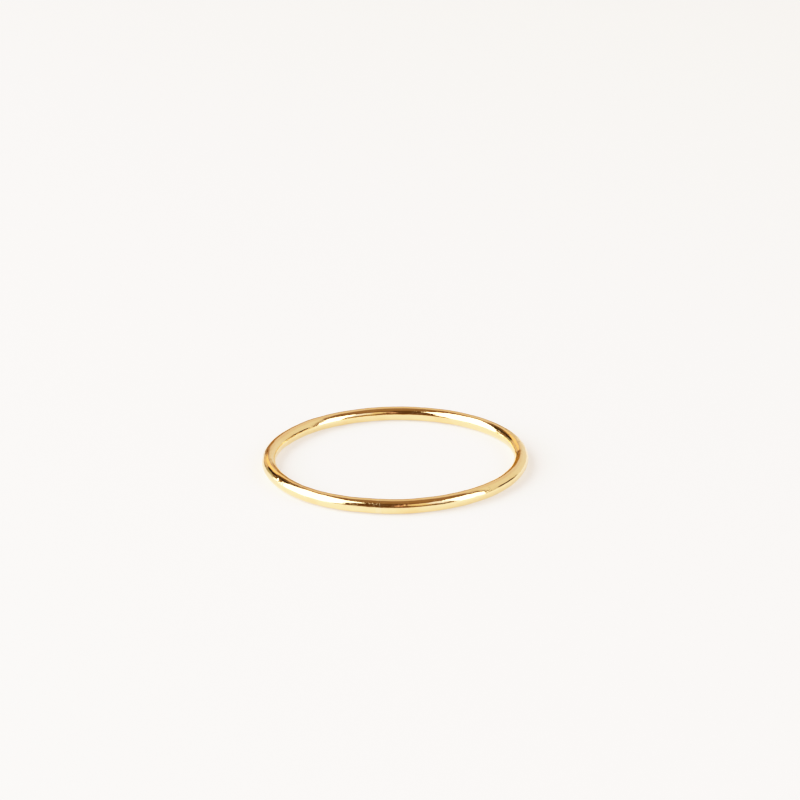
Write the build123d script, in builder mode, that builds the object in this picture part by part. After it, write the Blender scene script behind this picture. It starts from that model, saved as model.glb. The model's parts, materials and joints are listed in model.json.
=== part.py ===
from build123d import *

import os
from math import sqrt

# A plain stacking ring: one round gold wire, bent to a loop and soldered closed.
#
# Millimetres, +Z up. The ring lies flat on the plane z = 0 with its finger axis on +Z through the
# origin, and its front faces -Y. It is made by hand, so the loop is very slightly oval. The soldered
# seam is filed flush, and it is the same metal, so the ring is one solid.

# Driving dimensions
wire_diameter = 1.02  # 18 gauge round wire
finger_diameter = 16.9  # inside the loop on average, US ring size 6 1/2
out_of_round = 0.15  # how far the longest and shortest centreline radii are from the average
long_axis_angle = 45  # degrees from +X, so the loop is longest from back right to front left

# The wire and its centreline
wire_radius = wire_diameter / 2
centreline_radius = finger_diameter / 2 + wire_radius
long_radius = centreline_radius + out_of_round
short_radius = centreline_radius - out_of_round

# The oval is four quarter arcs that meet smoothly, tight ones at the ends of its long axis and wide
# ones at its sides. Each centre lies this far from the ring's own axis, which makes them tangent.
centre_shift = (long_radius - short_radius) / (2 - sqrt(2))
tight_radius = long_radius - centre_shift
wide_radius = short_radius + centre_shift
quarter_turn = 90
first_arc_start = -quarter_turn / 2

# (centre along the long axis, centre along the short axis, radius), anticlockwise
quarter_arcs = (
    (centre_shift, 0, tight_radius),
    (0, -centre_shift, wide_radius),
    (-centre_shift, 0, tight_radius),
    (0, centre_shift, wide_radius),
)

# The wire's underside touches z = 0, so its centreline lies one wire radius up
centreline_plane = Plane.XY.offset(wire_radius).rotated((0, 0, long_axis_angle))

# The band: the wire's round section swept once round the closed loop
with BuildPart() as ring_band:
    with BuildLine(centreline_plane) as loop:
        for arc_number, (centre_x, centre_y, radius) in enumerate(quarter_arcs):
            start_angle = first_arc_start + arc_number * quarter_turn
            CenterArc((centre_x, centre_y), radius, start_angle, quarter_turn)
    centreline = loop.wire()
    with BuildSketch(Plane(origin=centreline @ 0, z_dir=centreline % 0)):
        Circle(wire_radius)
    sweep(path=centreline)

ring_band.part.label = "ring_band"
os.makedirs("parts", exist_ok=True)
export_step(ring_band.part, "parts/ring_band.step")
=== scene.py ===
import json
import math

import bpy
import numpy as np
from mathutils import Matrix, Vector


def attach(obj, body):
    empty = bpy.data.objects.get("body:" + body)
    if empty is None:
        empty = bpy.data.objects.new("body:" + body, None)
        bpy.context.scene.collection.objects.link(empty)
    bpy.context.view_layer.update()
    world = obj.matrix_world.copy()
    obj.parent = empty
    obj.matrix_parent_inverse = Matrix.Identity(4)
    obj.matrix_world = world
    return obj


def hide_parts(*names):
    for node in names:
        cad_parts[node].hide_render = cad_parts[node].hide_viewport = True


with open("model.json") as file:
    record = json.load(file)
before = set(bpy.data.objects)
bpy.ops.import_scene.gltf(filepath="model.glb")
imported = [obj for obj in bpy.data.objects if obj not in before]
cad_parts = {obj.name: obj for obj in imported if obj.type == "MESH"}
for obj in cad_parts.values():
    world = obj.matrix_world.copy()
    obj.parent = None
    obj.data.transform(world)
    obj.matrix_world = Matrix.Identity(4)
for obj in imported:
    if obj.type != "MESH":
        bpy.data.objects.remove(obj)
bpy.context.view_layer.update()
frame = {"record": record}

# One plain stacking ring of polished gold wire, lying on a pale table in soft window light.
# Metres. The frame's origin is the centre of the finger hole, on the table.

MM = 0.001
FULL_TURN = 2 * math.pi

# ---- The ring's own sizes ----
finger_hole = next(m for m in frame["record"]["mounts"] if m["name"] == "finger_hole")
WIRE_RADIUS = finger_hole["dims"]["length_mm"] * MM / 2
LOOP_RADIUS = finger_hole["dims"]["r_mm"] * MM + WIRE_RADIUS  # to the middle of the wire
LOOP_LENGTH = FULL_TURN * LOOP_RADIUS
OUT_OF_ROUND = 0.15 * MM  # as in the CAD part: the loop's radius is this much more or less
LONG_AXIS_AZIMUTH = math.radians(45)  # where it is most

# ---- Small faults of a ring made by hand and worn. Angles are in degrees, lengths in metres ----
SEAM_AZIMUTH = math.radians(263)  # the soldered joint, just left of the front
SOLDER_REACH = 0.4 * MM
SOLDER_SWELL = 0.005 * MM
SEAM_STEP = 0.002 * MM  # one end of the wire stands this proud of the other
SEAM_GROOVE_DEPTH = 0.004 * MM
SEAM_GROOVE_WIDTH = 0.05 * MM
SEAM_WANDER = 0.03 * MM  # the joint isn't cut quite square
# Waves round the wire in the solder's swelling: how many, phase in radians, size as a share of it
SOLDER_WAVES = ((1, -0.4, 0.35), (3, 0, 0.25))
# Where the loop isn't bent evenly: azimuth, how far out it is there, how wide that is in degrees
LOOP_KINKS = (
    (257.5, -0.045 * MM, 6.5),  # the wire's end is straighter than the rest
    (273, 0.025 * MM, 5),
    (150, -0.03 * MM, 9),
    (20, 0.025 * MM, 7),
)
# Nicks: azimuth, angle up round the wire, depth, length along the wire, length round it
NICKS = (
    (208.6, 30, 0.004 * MM, 0.10 * MM, 0.08 * MM),
    (211.4, 36, 0.022 * MM, 0.20 * MM, 0.15 * MM),
    (213.6, 44, 0.006 * MM, 0.07 * MM, 0.06 * MM),
    (271.5, 28, 0.010 * MM, 0.14 * MM, 0.07 * MM),
    (274.2, 33, 0.008 * MM, 0.08 * MM, 0.07 * MM),
    (307.5, 5, 0.010 * MM, 0.20 * MM, 0.10 * MM),
    (313.0, 24, 0.010 * MM, 0.08 * MM, 0.08 * MM),
    (314.6, 60, 0.006 * MM, 0.06 * MM, 0.40 * MM),
    (78, 70, 0.014 * MM, 0.11 * MM, 0.10 * MM),
    (131, 15, 0.012 * MM, 0.09 * MM, 0.16 * MM),
)
# Fine nicks: lowest and highest angle up round the wire in radians, depth and size in millimetres
FINE_NICK_COUNT = 150
FINE_NICK_ANGLES = (-0.9, 3.3)
FINE_NICK_DEPTHS = (0.001, 0.005)
FINE_NICK_SIZES = (0.05, 0.16)
# The rubbed ripple's waves: how many there are, and how many crests each has round the loop and
# round the wire, from the first number up to one less than the second
RIPPLE_COUNT = 14
RIPPLE_CRESTS_ROUND_LOOP = (8, 70)
RIPPLE_CRESTS_ROUND_WIRE = (0, 4)
RIPPLE_SLOPE = 0.0045  # of each wave, in the wire's surface
# Gentle waves in the loop's radius and in its height: crests round the loop, and their size
RADIUS_WAVES = (3, 5, 7, 8, 11)
RADIUS_WAVE_SIZE = 0.018 * MM
HEIGHT_WAVES = (2, 3, 5, 9)
HEIGHT_WAVE_SIZE = 0.004 * MM
SECTION_OUT_OF_ROUND = 0.006  # of the wire's radius
RANDOM_SEED = 7

# ---- The visible wire's mesh ----
STEPS_ROUND_LOOP = 1500
STEPS_ROUND_WIRE = 64
SEAM_CROWDING = 4  # rows are this much closer together at the seam
SEAM_CROWDING_REACH = 0.9 * MM
CROWDING_SAMPLES = 20001  # places where the rows' crowding is added up, far more than the rows
WIRE_UV = "wire"
BAKE_UV = "OFBake"
BAKE_STRIPS = 4  # the wire is laid out for baking in this many strips, one above the other
BAKE_MARGIN = 0.02  # of a strip, above and below it


def angle_apart(a, b):
    """How far apart two directions are, from -pi to pi."""
    return (a - b + math.pi) % FULL_TURN - math.pi


def closed_waves(azimuth, wave_counts, size, rng):
    """Gentle unevenness that closes on itself round the loop: one sine for each count of waves."""
    waves = sum(np.sin(count * azimuth + rng.uniform(0, FULL_TURN)) for count in wave_counts)
    return size * waves / len(wave_counts)


def row_azimuths():
    """Azimuths of the mesh's rows, from the seam and once round, closer together near the seam."""
    turned = np.linspace(0, FULL_TURN, CROWDING_SAMPLES)
    from_seam = angle_apart(turned, 0) * LOOP_RADIUS / SEAM_CROWDING_REACH
    rows_here = 1 + (SEAM_CROWDING - 1) * np.exp(-(from_seam**2))
    rows_so_far = np.concatenate([[0], np.cumsum((rows_here[1:] + rows_here[:-1]) / 2)])
    wanted = np.linspace(0, rows_so_far[-1], STEPS_ROUND_LOOP, endpoint=False)
    return SEAM_AZIMUTH + np.interp(wanted, rows_so_far, turned)


def rubbed_ripple(azimuth, section_angle, rng):
    """Very shallow waves, as bending and polishing by hand leave. They close both ways."""
    ripple = 0
    for _ in range(RIPPLE_COUNT):
        waves_long = rng.integers(*RIPPLE_CRESTS_ROUND_LOOP) * rng.choice((-1, 1))
        waves_round = rng.integers(*RIPPLE_CRESTS_ROUND_WIRE)
        steepness = math.hypot(waves_long / LOOP_RADIUS, waves_round / WIRE_RADIUS)
        phase = waves_long * azimuth + waves_round * section_angle + rng.uniform(0, FULL_TURN)
        ripple = ripple + np.sin(phase) / steepness
    return RIPPLE_SLOPE * ripple


def nick(azimuth, section_angle, place, depth, long, wide):
    """A smooth dent. place is its azimuth and its angle up round the wire, in radians."""
    along = angle_apart(azimuth, place[0]) * LOOP_RADIUS / long
    around = angle_apart(section_angle, place[1]) * WIRE_RADIUS / wide
    return -depth * np.exp(-(along**2) - around**2)


def all_nicks(azimuth, section_angle, rng):
    """The nicks in the list, and fine ones at random."""
    dents = 0
    for nick_azimuth, nick_angle, depth, long, wide in NICKS:
        place = (math.radians(nick_azimuth), math.radians(nick_angle))
        dents = dents + nick(azimuth, section_angle, place, depth, long, wide)
    for _ in range(FINE_NICK_COUNT):
        place = (rng.uniform(0, FULL_TURN), rng.uniform(*FINE_NICK_ANGLES))
        depth = rng.uniform(*FINE_NICK_DEPTHS) * MM
        long, wide = rng.uniform(*FINE_NICK_SIZES, 2) * MM
        dents = dents + nick(azimuth, section_angle, place, depth, long, wide)
    return dents


def soldered_seam(azimuth, section_angle):
    """The joint: solder a little proud, a step between the wire's ends, and a fine groove."""
    from_seam = angle_apart(azimuth, SEAM_AZIMUTH) * LOOP_RADIUS
    solder = np.exp(-((from_seam / SOLDER_REACH) ** 2))
    uneven = 1
    for waves, phase, share in SOLDER_WAVES:
        uneven = uneven + share * np.sin(waves * section_angle + phase)
    swell = SOLDER_SWELL * uneven * solder
    wander = SEAM_WANDER * np.sin(2 * section_angle + 1)
    across = (from_seam - wander) / SEAM_GROOVE_WIDTH
    step = SEAM_STEP * np.tanh(across) * solder
    deeper_on_top = 0.7 + 0.3 * np.sin(section_angle)
    groove = SEAM_GROOVE_DEPTH * deeper_on_top * np.exp(-(across**2))
    return swell + step - groove


def ring_surface(azimuth):
    """Points of the wire's surface, as arrays of steps round the loop by steps round the wire."""
    rng = np.random.default_rng(RANDOM_SEED)
    azimuth = azimuth[:, None]
    section_angle = np.linspace(0, FULL_TURN, STEPS_ROUND_WIRE, endpoint=False)[None, :]

    oval = 2 * (azimuth - LONG_AXIS_AZIMUTH)
    radius = LOOP_RADIUS + OUT_OF_ROUND * np.cos(oval)
    outward_azimuth = azimuth - np.arctan2(-2 * OUT_OF_ROUND * np.sin(oval), radius)
    for kink_azimuth, size, width in LOOP_KINKS:
        apart = angle_apart(azimuth, math.radians(kink_azimuth)) / math.radians(width)
        radius = radius + size * np.exp(-(apart**2))
    radius = radius + closed_waves(azimuth, RADIUS_WAVES, RADIUS_WAVE_SIZE, rng)
    height = closed_waves(azimuth, HEIGHT_WAVES, HEIGHT_WAVE_SIZE, rng)

    section_oval = np.cos(2 * section_angle + 3 * azimuth)  # it turns as it goes round the loop
    wire = WIRE_RADIUS * (1 + SECTION_OUT_OF_ROUND * section_oval)
    wire = wire + rubbed_ripple(azimuth, section_angle, rng)
    wire = wire + all_nicks(azimuth, section_angle, rng)
    wire = wire + soldered_seam(azimuth, section_angle)
    reach = radius * np.stack([np.cos(azimuth), np.sin(azimuth)])
    out = wire * np.cos(section_angle) * np.stack([np.cos(outward_azimuth), np.sin(outward_azimuth)])
    up = height + wire * np.sin(section_angle)
    return np.stack([*(reach + out), up - up.min()], axis=-1)


def closed_grid_mesh(name, points):
    """A mesh object from a grid of points that closes on itself both ways."""
    rows, columns = points.shape[:2]
    index = np.arange(rows * columns).reshape(rows, columns)
    after_row = np.roll(index, -1, axis=0)
    after_column = np.roll(index, -1, axis=1)
    after_both = np.roll(after_row, -1, axis=1)
    faces = np.stack([index, after_row, after_both, after_column], axis=-1).reshape(-1, 4)
    mesh = bpy.data.meshes.new(name)
    mesh.from_pydata(points.reshape(-1, 3).tolist(), [], faces.tolist())
    mesh.polygons.foreach_set("use_smooth", np.ones(len(faces), dtype=bool))
    mesh.update()
    made = bpy.data.objects.new(name, mesh)
    bpy.context.scene.collection.objects.link(made)
    return made


def add_uv_map(mesh, name, low_u, high_u, low_v, high_v):
    """A UV map from each face's lowest and highest u and v, given as rows by columns."""
    corners = [(low_u, low_v), (high_u, low_v), (high_u, high_v), (low_u, high_v)]
    grid = np.array([np.broadcast_arrays(u, v) for u, v in corners])
    in_corner_order = np.moveaxis(grid, (0, 1), (2, 3))
    mesh.uv_layers.new(name=name).uv.foreach_set("vector", in_corner_order.astype("f").ravel())


def lay_out(mesh, azimuth):
    """One map with u once round the loop and v once round the wire, and one in strips to bake."""
    share_round = np.append((azimuth - SEAM_AZIMUTH) / FULL_TURN, 1)[:, None]
    share_up = np.linspace(0, 1, STEPS_ROUND_WIRE + 1)[None, :]
    low_v, high_v = share_up[:, :-1], share_up[:, 1:]
    add_uv_map(mesh, WIRE_UV, share_round[:-1], share_round[1:], low_v, high_v)
    rows_in_strip = STEPS_ROUND_LOOP // BAKE_STRIPS
    strip, row_in_strip = np.divmod(np.arange(STEPS_ROUND_LOOP)[:, None], rows_in_strip)
    margin, share_used = BAKE_MARGIN, 1 - 2 * BAKE_MARGIN
    low_v, high_v = ((strip + margin + share_used * v) / BAKE_STRIPS for v in (low_v, high_v))
    low_u, high_u = row_in_strip / rows_in_strip, (row_in_strip + 1) / rows_in_strip
    add_uv_map(mesh, BAKE_UV, low_u, high_u, low_v, high_v)


# ---- The gold ----
GOLD = (0.98, 0.72, 0.35, 1)
TARNISHED_GOLD = (0.91, 0.57, 0.23, 1)
SOLDER = (0.95, 0.78, 0.48, 1)
# Sets of fine scratches along helices: how far they turn round the wire in a millimetre, in
# radians, and how many of them start in a millimetre
SCRATCHES = ((0.6, 0.5), (-1.3, 0.6), (3.4, 0.7), (-0.2, 0.4))
FINE_CELLS = 7  # of the drawing marks and scratches, in a distance of the wire's radius
# How far the solder and the file's marks reach from the seam: full to, and gone past, millimetres
SOLDER_FADE = (0.02, 0.10)
FILED_FADE = (0.25, 0.75)
FADE_UNEVENNESS = -0.2
STAIN_STRENGTH = 0.5
SOLDER_STRENGTH = 0.3
# Roughness of bare polished metal, and what each mark adds to it
POLISHED_ROUGHNESS = 0.02
HAZE_ROUGHNESS = 0.06
DRAWN_ROUGHNESS = 0.03
SCRATCHED_ROUGHNESS = 0.14
FILED_ROUGHNESS = 0.015
# Relief: the drawing marks' height, and the other marks' as a share of it
DRAWN_HEIGHT = 0.0012 * MM
SCRATCH_HEIGHT = -0.35
FILED_HEIGHT = 1.2


class Nodes:
    """Short ways to add and join nodes in one material or world."""

    def __init__(self, owner):
        self.tree = owner.node_tree

    def add(self, kind, inputs=None, output=0, **settings):
        """Adds a node, with its inputs each a constant or another node's output."""
        node = self.tree.nodes.new(kind)
        for name, value in settings.items():
            setattr(node, name, value)
        for name, value in (inputs or {}).items():
            if isinstance(value, bpy.types.NodeSocket):
                self.tree.links.new(value, node.inputs[name])
            else:
                node.inputs[name].default_value = value
        return node.outputs[output]

    def math(self, operation, *values):
        return self.add("ShaderNodeMath", dict(enumerate(values)), operation=operation)

    def noise(self, vector, scale, detail=2.0):
        inputs = {"Vector": vector, "Scale": scale, "Detail": detail}
        return self.add("ShaderNodeTexNoise", inputs)

    def rise(self, value, low, high):
        """0 where value is below low, 1 where it is above high, and a smooth rise between them."""
        inputs = {"Value": value, "From Min": low, "From Max": high}
        return self.add("ShaderNodeMapRange", inputs, interpolation_type="SMOOTHSTEP")

    def mix(self, share, a, b):
        inputs = {"Factor": share, "A": a, "B": b}
        return self.add("ShaderNodeMix", inputs, "Result", data_type="RGBA")


class WireNodes(Nodes):
    """Nodes of a material whose marks follow the wire, round the loop and round its section."""

    loop_in_mm = LOOP_LENGTH / MM

    def __init__(self, material):
        super().__init__(material)
        wire_map = self.add("ShaderNodeUVMap", uv_map=WIRE_UV)
        self.share_round = self.add("ShaderNodeSeparateXYZ", {"Vector": wire_map}, "X")
        share_up = self.add("ShaderNodeSeparateXYZ", {"Vector": wire_map}, "Y")
        self.section_angle = self.math("MULTIPLY", share_up, FULL_TURN)

    def wire_noise(self, cells_along_mm, cells_round_radius, detail, twist_per_mm=0):
        """Noise stretched along or round the wire, or along a helix, with no break round it."""
        along = self.math("MULTIPLY", self.share_round, self.loop_in_mm * cells_along_mm)
        twist_in_loop = self.loop_in_mm * twist_per_mm
        twist = self.math("MULTIPLY_ADD", self.share_round, twist_in_loop, self.section_angle)
        x, y = (
            self.math("MULTIPLY", self.math(kind, twist), cells_round_radius)
            for kind in ("COSINE", "SINE")
        )
        vector = self.add("ShaderNodeCombineXYZ", {"X": along, "Y": x, "Z": y})
        return self.noise(vector, scale=1, detail=detail)

    def near_seam(self, full_to, gone_past, unevenness):
        """1 at the seam and 0 far from it, with an uneven edge. Distances are in millimetres."""
        half_turn_from_seam = self.math("ABSOLUTE", self.math("SUBTRACT", self.share_round, 0.5))
        share_from_seam = self.math("SUBTRACT", 0.5, half_turn_from_seam)
        from_seam = self.math("MULTIPLY", share_from_seam, self.loop_in_mm)
        edge = self.math("ADD", from_seam, self.math("MULTIPLY", unevenness, FADE_UNEVENNESS))
        return self.math("SUBTRACT", 1, self.rise(edge, full_to, gone_past))

    def scratches(self):
        """Fine scratches in a few sets, each along its own helix."""
        scratched = 0
        for twist_per_mm, cells_along_mm in SCRATCHES:
            needles = self.wire_noise(cells_along_mm, FINE_CELLS, detail=0, twist_per_mm=twist_per_mm)
            scratched = self.math("MAXIMUM", scratched, self.rise(needles, low=0.69, high=0.74))
        return scratched


def gold():
    """Polished gold wire: marks along it from drawing, scratches, haze, tarnish and solder."""
    material = bpy.data.materials.new("polished_gold")
    material.use_nodes = True
    nodes = WireNodes(material)
    place = nodes.add("ShaderNodeTexCoord", output="Object")
    haze = nodes.noise(place, scale=900, detail=4)
    stain = nodes.rise(nodes.noise(place, scale=420, detail=5), low=0.48, high=0.72)
    draw_marks = nodes.wire_noise(cells_along_mm=0.12, cells_round_radius=FINE_CELLS, detail=5)
    file_marks = nodes.wire_noise(cells_along_mm=16, cells_round_radius=1.4, detail=2)
    solder = nodes.near_seam(*SOLDER_FADE, unevenness=haze)
    filed = nodes.near_seam(*FILED_FADE, unevenness=haze)
    scratched = nodes.scratches()

    colour = nodes.mix(nodes.math("MULTIPLY", stain, STAIN_STRENGTH), GOLD, TARNISHED_GOLD)
    colour = nodes.mix(nodes.math("MULTIPLY", solder, SOLDER_STRENGTH), colour, SOLDER)

    roughness = POLISHED_ROUGHNESS
    for mark, added_roughness in (
        (haze, HAZE_ROUGHNESS),
        (draw_marks, DRAWN_ROUGHNESS),
        (scratched, SCRATCHED_ROUGHNESS),
        (filed, FILED_ROUGHNESS),
    ):
        roughness = nodes.math("MULTIPLY_ADD", mark, added_roughness, roughness)

    height = nodes.math("MULTIPLY_ADD", scratched, SCRATCH_HEIGHT, draw_marks)
    file_height = nodes.math("MULTIPLY", file_marks, nodes.math("MULTIPLY", filed, FILED_HEIGHT))
    height = nodes.math("ADD", height, file_height)
    bump = nodes.add("ShaderNodeBump", {"Height": height, "Distance": DRAWN_HEIGHT}, "Normal")

    shader = material.node_tree.nodes["Principled BSDF"]
    shader.inputs["Metallic"].default_value = 1
    for name, socket in (("Base Color", colour), ("Roughness", roughness), ("Normal", bump)):
        material.node_tree.links.new(socket, shader.inputs[name])
    return material


row_azimuth = row_azimuths()
ring = closed_grid_mesh("ring_band_wire", ring_surface(row_azimuth))
lay_out(ring.data, row_azimuth)
ring.data.materials.append(gold())
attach(ring, "root")
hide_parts("ring_band")


# ---- Table, light and camera ----
WINDOW_RADIANCE = 4.4
WINDOW_DISTANCE = 0.6
AREA_LIGHT_POWER = 4  # for each unit of radiance and square metre
CEILING = (0.22, 0.115, 0.045, 1)
WALL_IN_PICTURE = (0.88, 0.86, 0.82, 1)
# Soft round patches of the room, later ones over earlier ones. In degrees: azimuth, elevation,
# full to this angle from its middle, gone past this one. Then its radiance in red, green and blue.
# Chosen for the bright and dark bands that they make along the wire
STUDIO_PATCHES = (
    (60, 82, 4, 30, (0.34, 0.20, 0.095)),  # paler middle of the ceiling
    (-15, 36, 18, 32, (0.12, 0.053, 0.013)),  # dark room behind the camera
    (-48, 22, 9, 12, (3.60, 3.60, 3.60)),  # the left window's ends
    (-126, 3, 6, 11, (0.75, 0.75, 0.65)),
    (-118, 6, 3, 6, (3.60, 3.60, 3.20)),
    (7, 30, 3, 6, (1.25, 0.74, 0.60)),  # warm things in the dark room
    (15, 42, 2, 5, (0.80, 0.50, 0.40)),
    (28, 22, 6, 10, (0.62, 0.50, 0.32)),  # a panel beside the right window
    (29, 36, 9, 13, (1.15, 0.88, 0.62)),
    (47, 34, 10, 14, (1.50, 1.42, 1.60)),
    (44, 13, 4, 8, (0.20, 0.20, 0.19)),
    (135, 12, 40, 49, (1.05, 0.92, 0.82)),  # pale wall behind the ring, to the right
    (102, 9, 5, 9, (0.03, 0.016, 0.004)),  # a dark edge low on it
    (112, 7, 5, 9, (0.02, 0.01, 0.002)),
    (119, 4, 3, 7, (0.05, 0.03, 0.01)),
    (176, 44, 14, 30, (0.95, 0.73, 0.64)),  # tan wall straight behind
    (-152, 12, 6, 12, (0.93, 0.64, 0.42)),
    (-162, 26, 6, 11, (1.60, 0.98, 0.48)),
    (-178, 8, 8, 14, (0.42, 0.19, 0.01)),
    (-137, 10, 4, 9, (0.42, 0.42, 0.30)),
    (-142, 24, 6, 9, (0.01, 0.004, 0.001)),  # dark corner behind, to the left
    (-132, 36, 7, 12, (0.03, 0.015, 0.003)),
    (-123, 48, 3, 8, (0.09, 0.046, 0.02)),
    (-157, 38, 4, 8, (0.12, 0.06, 0.005)),
)
TABLE_WIDTH = 3
TABLE_FINISH = {
    "Base Color": (0.57, 0.57, 0.565, 1),
    "Emission Color": (1, 0.965, 0.915, 1),
    "Emission Strength": 0.51,
    "Roughness": 0.7,
    "Specular IOR Level": 0.2,
}


def direction(azimuth, elevation):
    """Unit vector. Azimuth 0 is towards the camera (-Y) and 90 is to its right (+X), in degrees."""
    a, e = math.radians(azimuth), math.radians(elevation)
    return Vector((math.sin(a) * math.cos(e), -math.cos(a) * math.cos(e), math.sin(e)))


def window(name, azimuth, elevation):
    """A flat light panel facing the ring, seen from it between two azimuths and two elevations."""
    middle = direction(sum(azimuth) / 2, sum(elevation) / 2)
    light = bpy.data.lights.new(name, "AREA")
    light.shape = "RECTANGLE"
    light.size = 2 * WINDOW_DISTANCE * math.tan(math.radians(azimuth[1] - azimuth[0]) / 2)
    light.size_y = 2 * WINDOW_DISTANCE * math.tan(math.radians(elevation[1] - elevation[0]) / 2)
    light.energy = WINDOW_RADIANCE * light.size * light.size_y * AREA_LIGHT_POWER
    light_object = bpy.data.objects.new(name, light)
    bpy.context.scene.collection.objects.link(light_object)
    light_object.location = middle * WINDOW_DISTANCE
    light_object.rotation_euler = middle.to_track_quat("Z", "Y").to_euler()
    light_object.visible_camera = False


def studio_world():
    """What the ring reflects beside the windows. The camera itself sees a plain pale wall."""
    world = bpy.data.worlds.new("studio")
    world.use_nodes = True
    nodes = Nodes(world)
    towards = nodes.add("ShaderNodeTexCoord", output="Generated")
    room = CEILING
    for azimuth, elevation, full_to, gone_past, radiance in STUDIO_PATCHES:
        ends = {0: towards, 1: direction(azimuth, elevation)}
        nearness = nodes.add("ShaderNodeVectorMath", ends, "Value", operation="DOT_PRODUCT")
        low, high = (math.cos(math.radians(angle)) for angle in (gone_past, full_to))
        room = nodes.mix(nodes.rise(nearness, low, high), room, (*radiance, 1))
    in_picture = nodes.add("ShaderNodeLightPath", output="Is Camera Ray")
    seen = nodes.mix(in_picture, room, WALL_IN_PICTURE)
    world.node_tree.links.new(seen, world.node_tree.nodes["Background"].inputs["Color"])
    bpy.context.scene.world = world


def pale_table():
    """The table top. It gives some light of its own, so the shadow beside the ring is faint."""
    bpy.ops.mesh.primitive_plane_add(size=TABLE_WIDTH)
    top = bpy.context.object
    top.name = "table"
    material = bpy.data.materials.new("pale_table")
    material.use_nodes = True
    shader = material.node_tree.nodes["Principled BSDF"]
    for name, value in TABLE_FINISH.items():
        shader.inputs[name].default_value = value
    top.data.materials.append(material)
    return top


window("left_window", azimuth=(-112, -48), elevation=(0, 64))
window("right_window", azimuth=(56, 81), elevation=(0, 48))
studio_world()
table = pale_table()

VIEW_ELEVATION = 20.5
CAMERA_DISTANCE = 0.2
FRAME_WIDTH = 0.057  # at the ring's distance
AIM_RIGHT = 0.00033  # the picture's centre, from the middle of the finger hole
AIM_UP = 0.00461
NEAREST_SEEN = 0.01

camera_data = bpy.data.cameras.new("camera")
camera = bpy.data.objects.new("camera", camera_data)
bpy.context.scene.collection.objects.link(camera)
back = direction(0, VIEW_ELEVATION)
camera.rotation_euler = back.to_track_quat("Z", "Y").to_euler()
view_up = camera.rotation_euler.to_matrix() @ Vector((0, 1, 0))
camera.location = Vector((AIM_RIGHT, 0, 0)) + view_up * AIM_UP + back * CAMERA_DISTANCE
camera_data.lens = camera_data.sensor_width * CAMERA_DISTANCE / FRAME_WIDTH
camera_data.clip_start = NEAREST_SEEN
bpy.context.scene.camera = camera

# How the camera shows bright things: their brightness in the scene, and in the picture
WHITEST = 3
HIGHLIGHT_SHOULDER = (
    (0.45, 0.45),
    (0.60, 0.575),
    (0.75, 0.67),
    (0.92, 0.765),
    (1.10, 0.85),
    (1.28, 0.915),
    (1.50, 0.96),
    (2.00, 0.988),
)
view = bpy.context.scene.view_settings
view.view_transform = "Standard"
view.use_curve_mapping = True
view.curve_mapping.white_level = (WHITEST, WHITEST, WHITEST)
shown_brightness = view.curve_mapping.curves[3].points
for in_scene, in_picture in HIGHLIGHT_SHOULDER:
    shown_brightness.new(in_scene / WHITEST, in_picture)
for point in shown_brightness:
    point.handle_type = "VECTOR"
view.curve_mapping.update()
